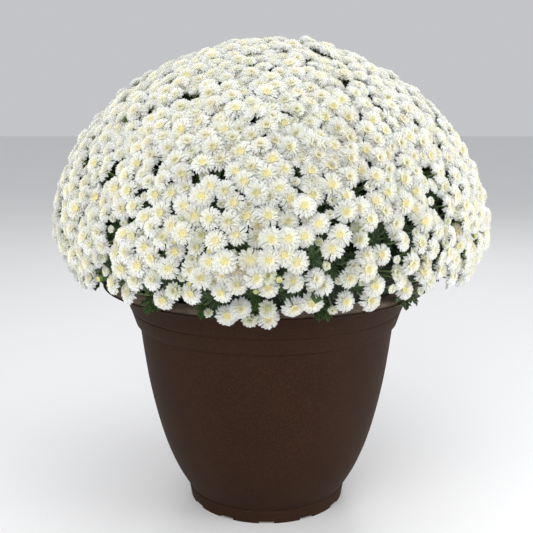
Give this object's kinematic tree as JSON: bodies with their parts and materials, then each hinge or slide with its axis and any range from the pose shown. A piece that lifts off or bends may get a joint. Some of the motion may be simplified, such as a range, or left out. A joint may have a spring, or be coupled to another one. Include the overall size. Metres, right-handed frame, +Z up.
{
  "type": "pot chrysanthemum",
  "caption": "Bushy white button chrysanthemum in full bloom, a rounded dome of small double flowers over lobed green leaves, growing in a round dark brown plastic pot with a wide flared lip.",
  "frame": {"origin": "middle of the pot's flat underside, where it stands", "axes": "+Z up along the pot's axis, -Y towards the front, +X to the right seen from the front"},
  "size_m": [0.5262, 0.5249, 0.5776],
  "materials": {
    "chocolate_plastic": "moulded dark brown polypropylene with a fine matt grain",
    "dark_mix": "damp peat and bark potting mix, rough and crumbly",
    "woody_stem": "matt green-brown woody stem",
    "leaf_green": "dark green leaf, matt with a faint sheen",
    "petal_white": "soft white petals that turn cream and yellow at the middle of each bloom"
  },
  "bodies": {
    "root": {"pot": "chocolate_plastic", "potting_mix": "dark_mix", "woody_stems": "woody_stem", "foliage": "leaf_green", "bloom_spray_01": "petal_white", "bloom_spray_02": "petal_white", "bloom_spray_03": "petal_white", "bloom_spray_04": "petal_white", "bloom_spray_05": "petal_white", "bloom_spray_06": "petal_white", "bloom_spray_07": "petal_white", "bloom_spray_08": "petal_white", "bloom_spray_09": "petal_white", "bloom_spray_10": "petal_white", "bloom_spray_11": "petal_white", "bloom_spray_12": "petal_white", "bloom_spray_13": "petal_white", "bloom_spray_14": "petal_white", "bloom_spray_15": "petal_white"}
  },
  "joints": []
}
